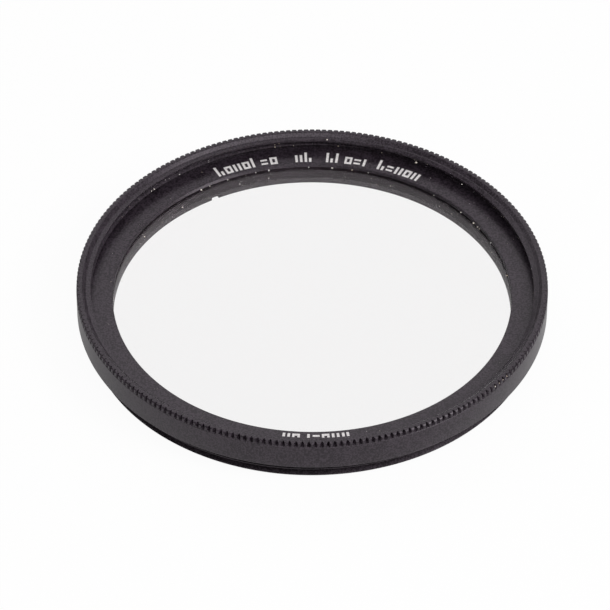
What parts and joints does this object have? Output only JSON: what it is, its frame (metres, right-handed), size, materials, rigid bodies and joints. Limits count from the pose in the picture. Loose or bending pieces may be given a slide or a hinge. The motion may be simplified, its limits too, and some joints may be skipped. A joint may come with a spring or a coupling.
{
  "type": "protective lens filter",
  "caption": "Clear protective lens filter: flat glass disc in a thin knurled black ring, threaded front and rear, held from behind by a notched retaining ring.",
  "frame": {"origin": "on the optical axis, in the rear face that rests on a table", "axes": "+Z along the optical axis, from the rear thread towards the knurled front"},
  "size_m": [0.0448, 0.0448, 0.0052],
  "materials": {
    "frame_black": "satin black anodised",
    "clear_glass": "polished, coated",
    "retainer_black": "matte black anodised",
    "white_print": "thin matte ink",
    "dust": "loose grey dust"
  },
  "bodies": {
    "root": {"frame_ring": "frame_black", "glass_disc": "clear_glass", "retaining_ring": "retainer_black"}
  },
  "joints": []
}
